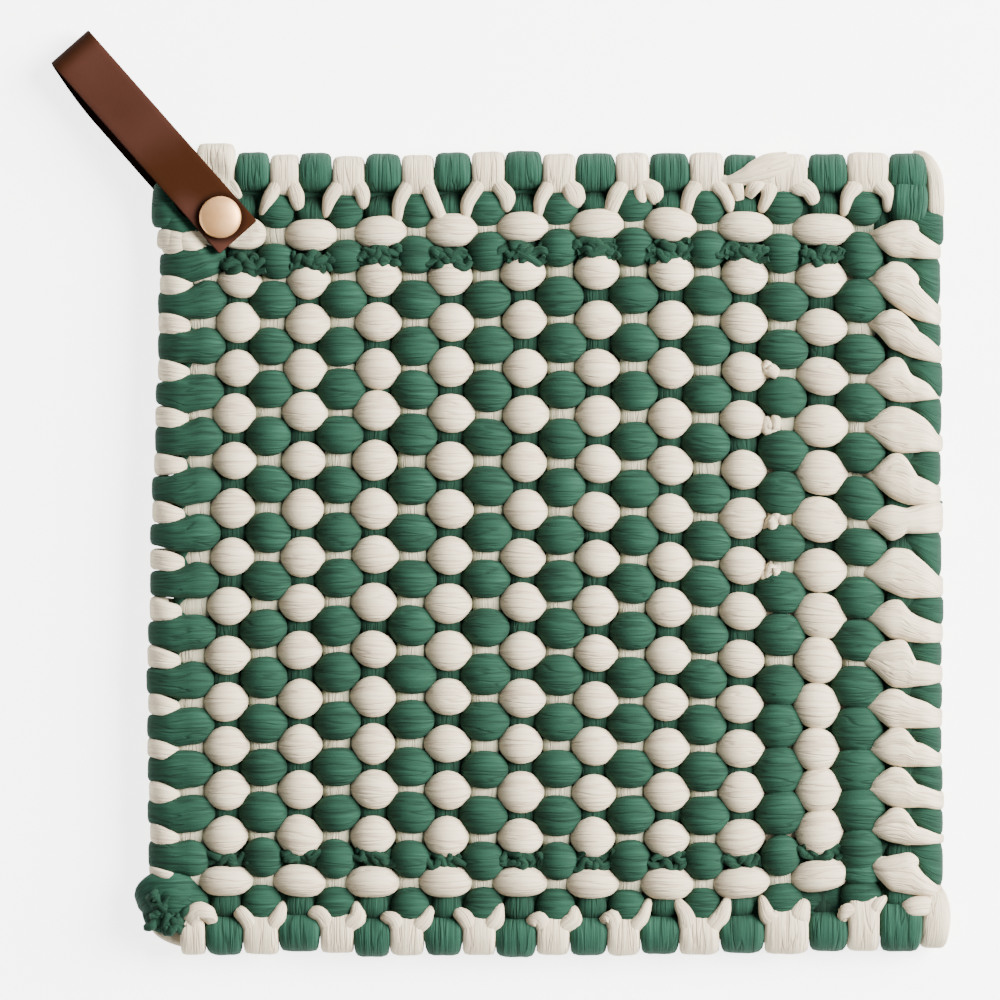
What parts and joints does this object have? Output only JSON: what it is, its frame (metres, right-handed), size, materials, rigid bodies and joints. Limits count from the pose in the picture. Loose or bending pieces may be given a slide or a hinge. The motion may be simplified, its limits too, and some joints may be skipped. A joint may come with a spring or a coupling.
{
  "type": "woven pot holder",
  "caption": "Square pot holder woven from thick cream and green cotton loops, with a riveted leather hanging loop at one corner.",
  "frame": {"origin": "on the underside of the mat, at the flat of the back bead where the middle warp crosses the middle weft", "axes": "+X along the wefts, to the right when the front face is seen, +Y along the warps, towards the edge with the hanging loop, +Z out of the front face"},
  "size_m": [0.2271, 0.2346, 0.0147],
  "materials": {
    "cotton_green": "matte jersey",
    "cotton_cream": "matte jersey",
    "leather": "smooth, slightly waxed",
    "rivet_brass": "satin"
  },
  "bodies": {
    "root": {"woven_mat": "cotton_green", "leather_loop": "leather", "rivet_cap": "rivet_brass", "rivet_back": "rivet_brass"}
  },
  "joints": []
}
